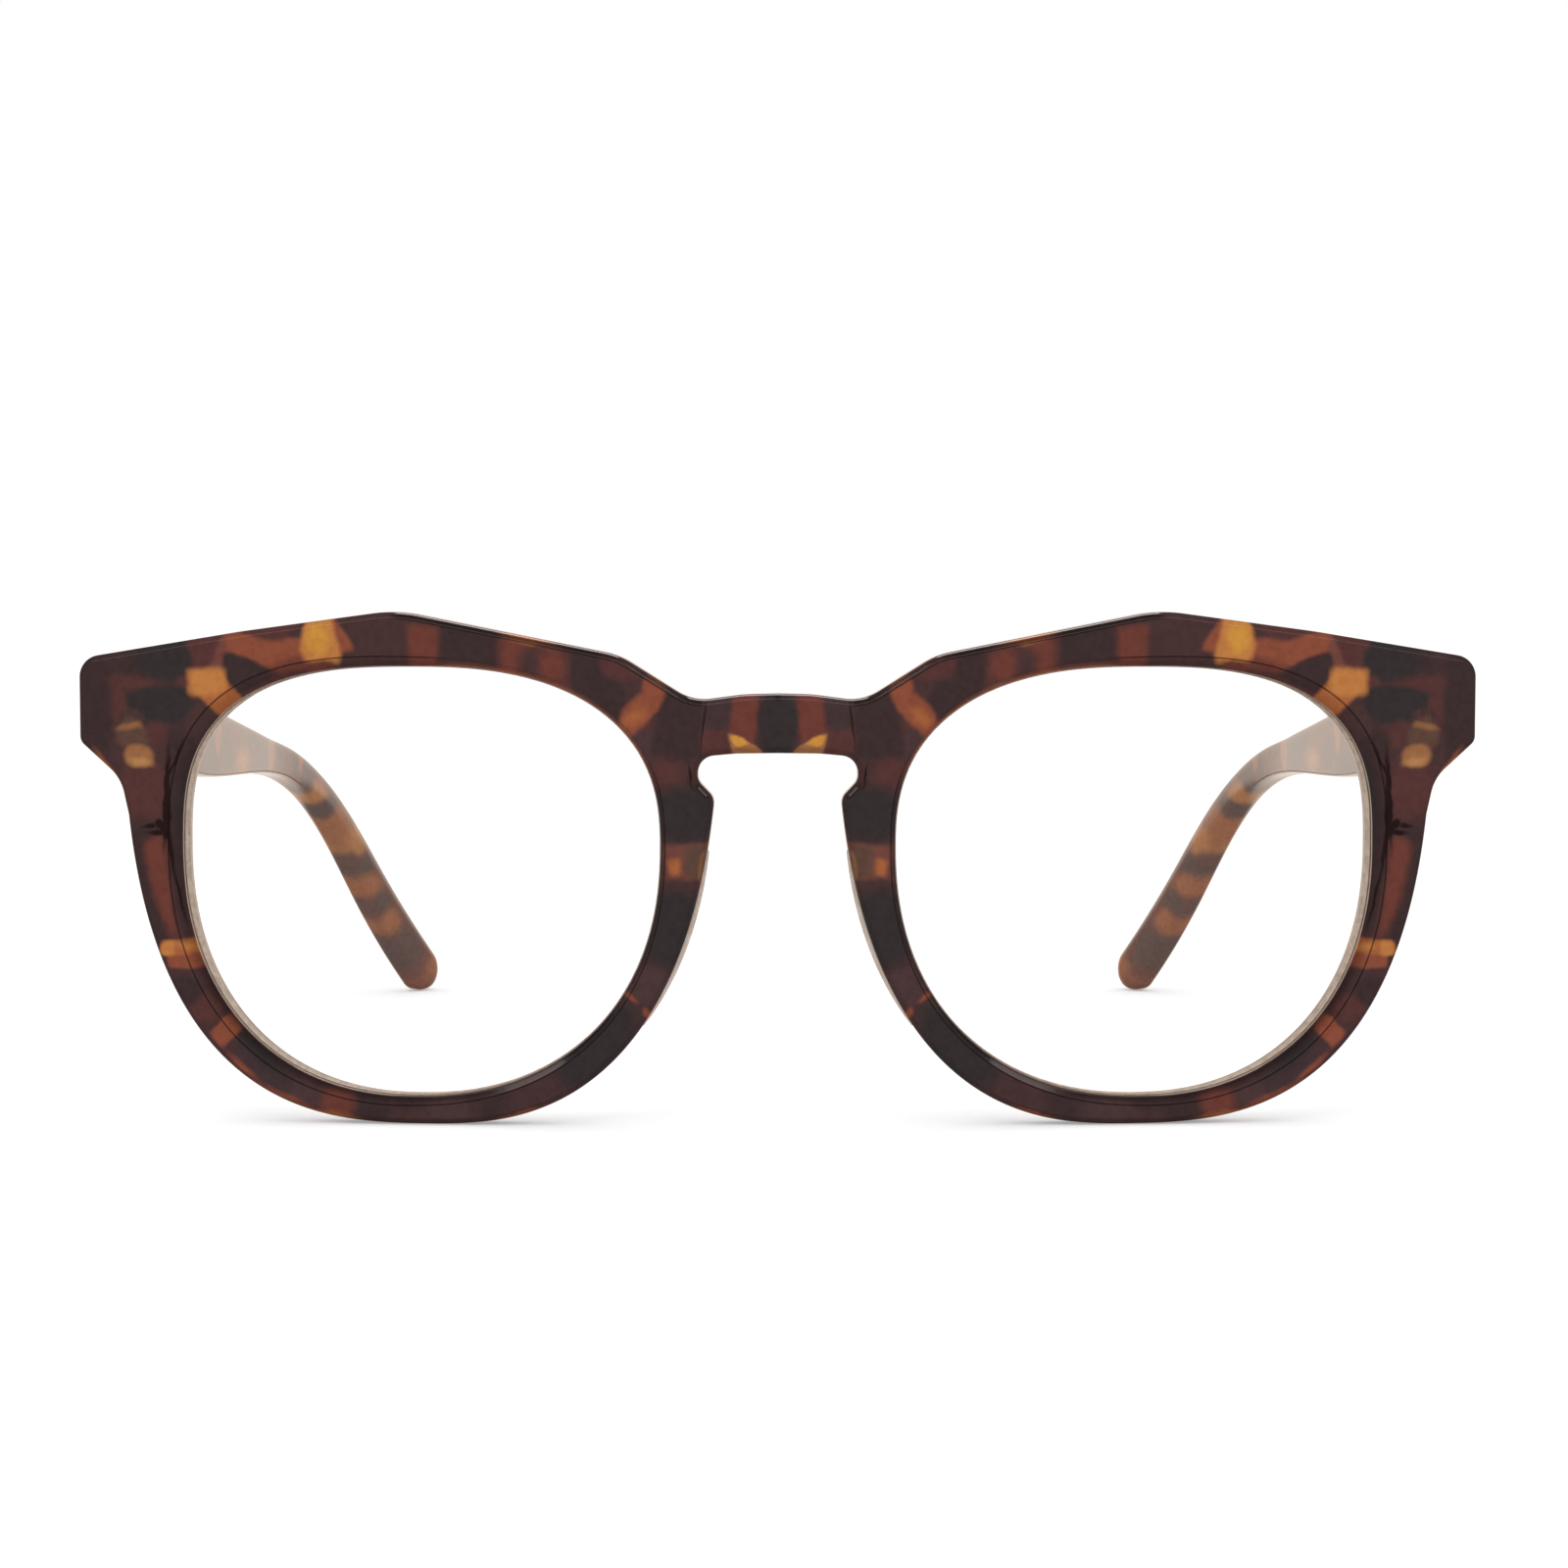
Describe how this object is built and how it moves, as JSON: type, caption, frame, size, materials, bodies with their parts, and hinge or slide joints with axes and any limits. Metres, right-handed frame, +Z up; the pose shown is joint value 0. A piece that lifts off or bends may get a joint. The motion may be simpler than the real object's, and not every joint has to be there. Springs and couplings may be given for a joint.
{
  "type": "full-rim keyhole-bridge glasses",
  "caption": "Tortoiseshell acetate glasses with a raised angular brow, keyhole bridge, clear lenses and temples that fold on barrel hinges.",
  "frame": {"origin": "on the table under the middle of the glasses' outline seen from above, temples open", "axes": "+X to the wearer's left along the front, +Y from the front back to the temple tips, +Z up"},
  "size_m": [0.1398, 0.1428, 0.0508],
  "materials": {
    "tortoise_acetate": "polished acetate, dark brown tortoiseshell with amber patches",
    "clear_lens": "clear, polished",
    "amber_acetate": "polished acetate, amber brown",
    "hinge_metal": "nickel silver, satin",
    "screw_metal": "stainless steel"
  },
  "bodies": {
    "front_assembly": {"front": "tortoise_acetate", "lens_left": "clear_lens", "lens_right": "clear_lens", "nose_pad_left": "amber_acetate", "nose_pad_right": "amber_acetate", "front_hinge_left": "hinge_metal", "front_hinge_right": "hinge_metal", "hinge_screw_left": "screw_metal", "hinge_screw_right": "screw_metal"},
    "left_temple": {"temple_left": "tortoise_acetate", "temple_hinge_left": "hinge_metal"},
    "right_temple": {"temple_right": "tortoise_acetate", "temple_hinge_right": "hinge_metal"}
  },
  "joints": [
    {"name": "left_temple_fold", "type": "hinge", "parent": "front_assembly", "child": "left_temple", "pos_m": [0.0637, -0.06006, 0.0421], "axis": [0, 0, 1], "range_deg": [0, 84]},
    {"name": "right_temple_fold", "type": "hinge", "parent": "front_assembly", "child": "right_temple", "pos_m": [-0.0637, -0.06006, 0.0421], "axis": [0, 0, -1], "range_deg": [0, 74.5]}
  ]
}
